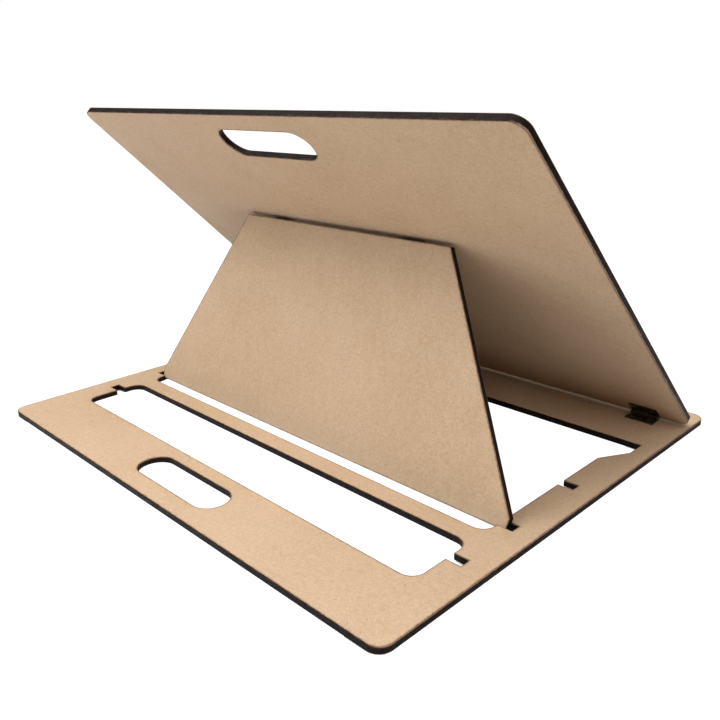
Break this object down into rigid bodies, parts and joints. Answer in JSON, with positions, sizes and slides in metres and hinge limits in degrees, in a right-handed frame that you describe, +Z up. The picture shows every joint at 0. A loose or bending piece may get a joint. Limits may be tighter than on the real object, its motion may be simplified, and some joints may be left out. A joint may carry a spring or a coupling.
{
  "type": "portable drawing board",
  "caption": "Folding table drawing board: flat base frame, hinged drawing board and a fold-out prop panel that stands in notches of the base.",
  "frame": {"origin": "centre of the base's underside, on the table", "axes": "+X to the user's right along the hinge lines, +Y from the user towards the base's slotted rear edge, +Z up"},
  "size_m": [0.45, 0.39, 0.2558],
  "materials": {
    "sheet": "raw medium density fibreboard with scorched laser-cut edges",
    "leaf_metal": "dark bronzed steel",
    "fastener_metal": "dark bronzed steel, worn on the heads"
  },
  "bodies": {
    "base": {"base_panel": "sheet", "base_hinge_left_base_leaf": "leaf_metal", "base_hinge_left_pin": "fastener_metal", "base_hinge_left_base_screws": "fastener_metal", "base_hinge_right_base_leaf": "leaf_metal", "base_hinge_right_pin": "fastener_metal", "base_hinge_right_base_screws": "fastener_metal"},
    "board": {"drawing_board": "sheet", "base_hinge_left_board_leaf": "leaf_metal", "base_hinge_left_board_screws": "fastener_metal", "base_hinge_right_board_leaf": "leaf_metal", "base_hinge_right_board_screws": "fastener_metal", "prop_hinge_left_board_leaf": "leaf_metal", "prop_hinge_left_pin": "fastener_metal", "prop_hinge_left_board_screws": "fastener_metal", "prop_hinge_right_board_leaf": "leaf_metal", "prop_hinge_right_pin": "fastener_metal", "prop_hinge_right_board_screws": "fastener_metal"},
    "prop": {"prop_panel": "sheet", "prop_hinge_left_prop_leaf": "leaf_metal", "prop_hinge_left_prop_screws": "fastener_metal", "prop_hinge_right_prop_leaf": "leaf_metal", "prop_hinge_right_prop_screws": "fastener_metal"}
  },
  "joints": [
    {"name": "board_hinge", "type": "hinge", "parent": "base", "child": "board", "pos_m": [0, -0.1615, 0.0069], "axis": [1, 0, 0], "range_deg": [-43.6, 17.9]},
    {"name": "prop_hinge", "type": "hinge", "parent": "board", "child": "prop", "pos_m": [0, -0.00001, 0.16069], "axis": [1, 0, 0], "range_deg": [-63.81, 26.2]}
  ],
  "couplings": [
    {"joint": "prop_hinge", "follows": "board_hinge", "ratio": 1.4634}
  ]
}
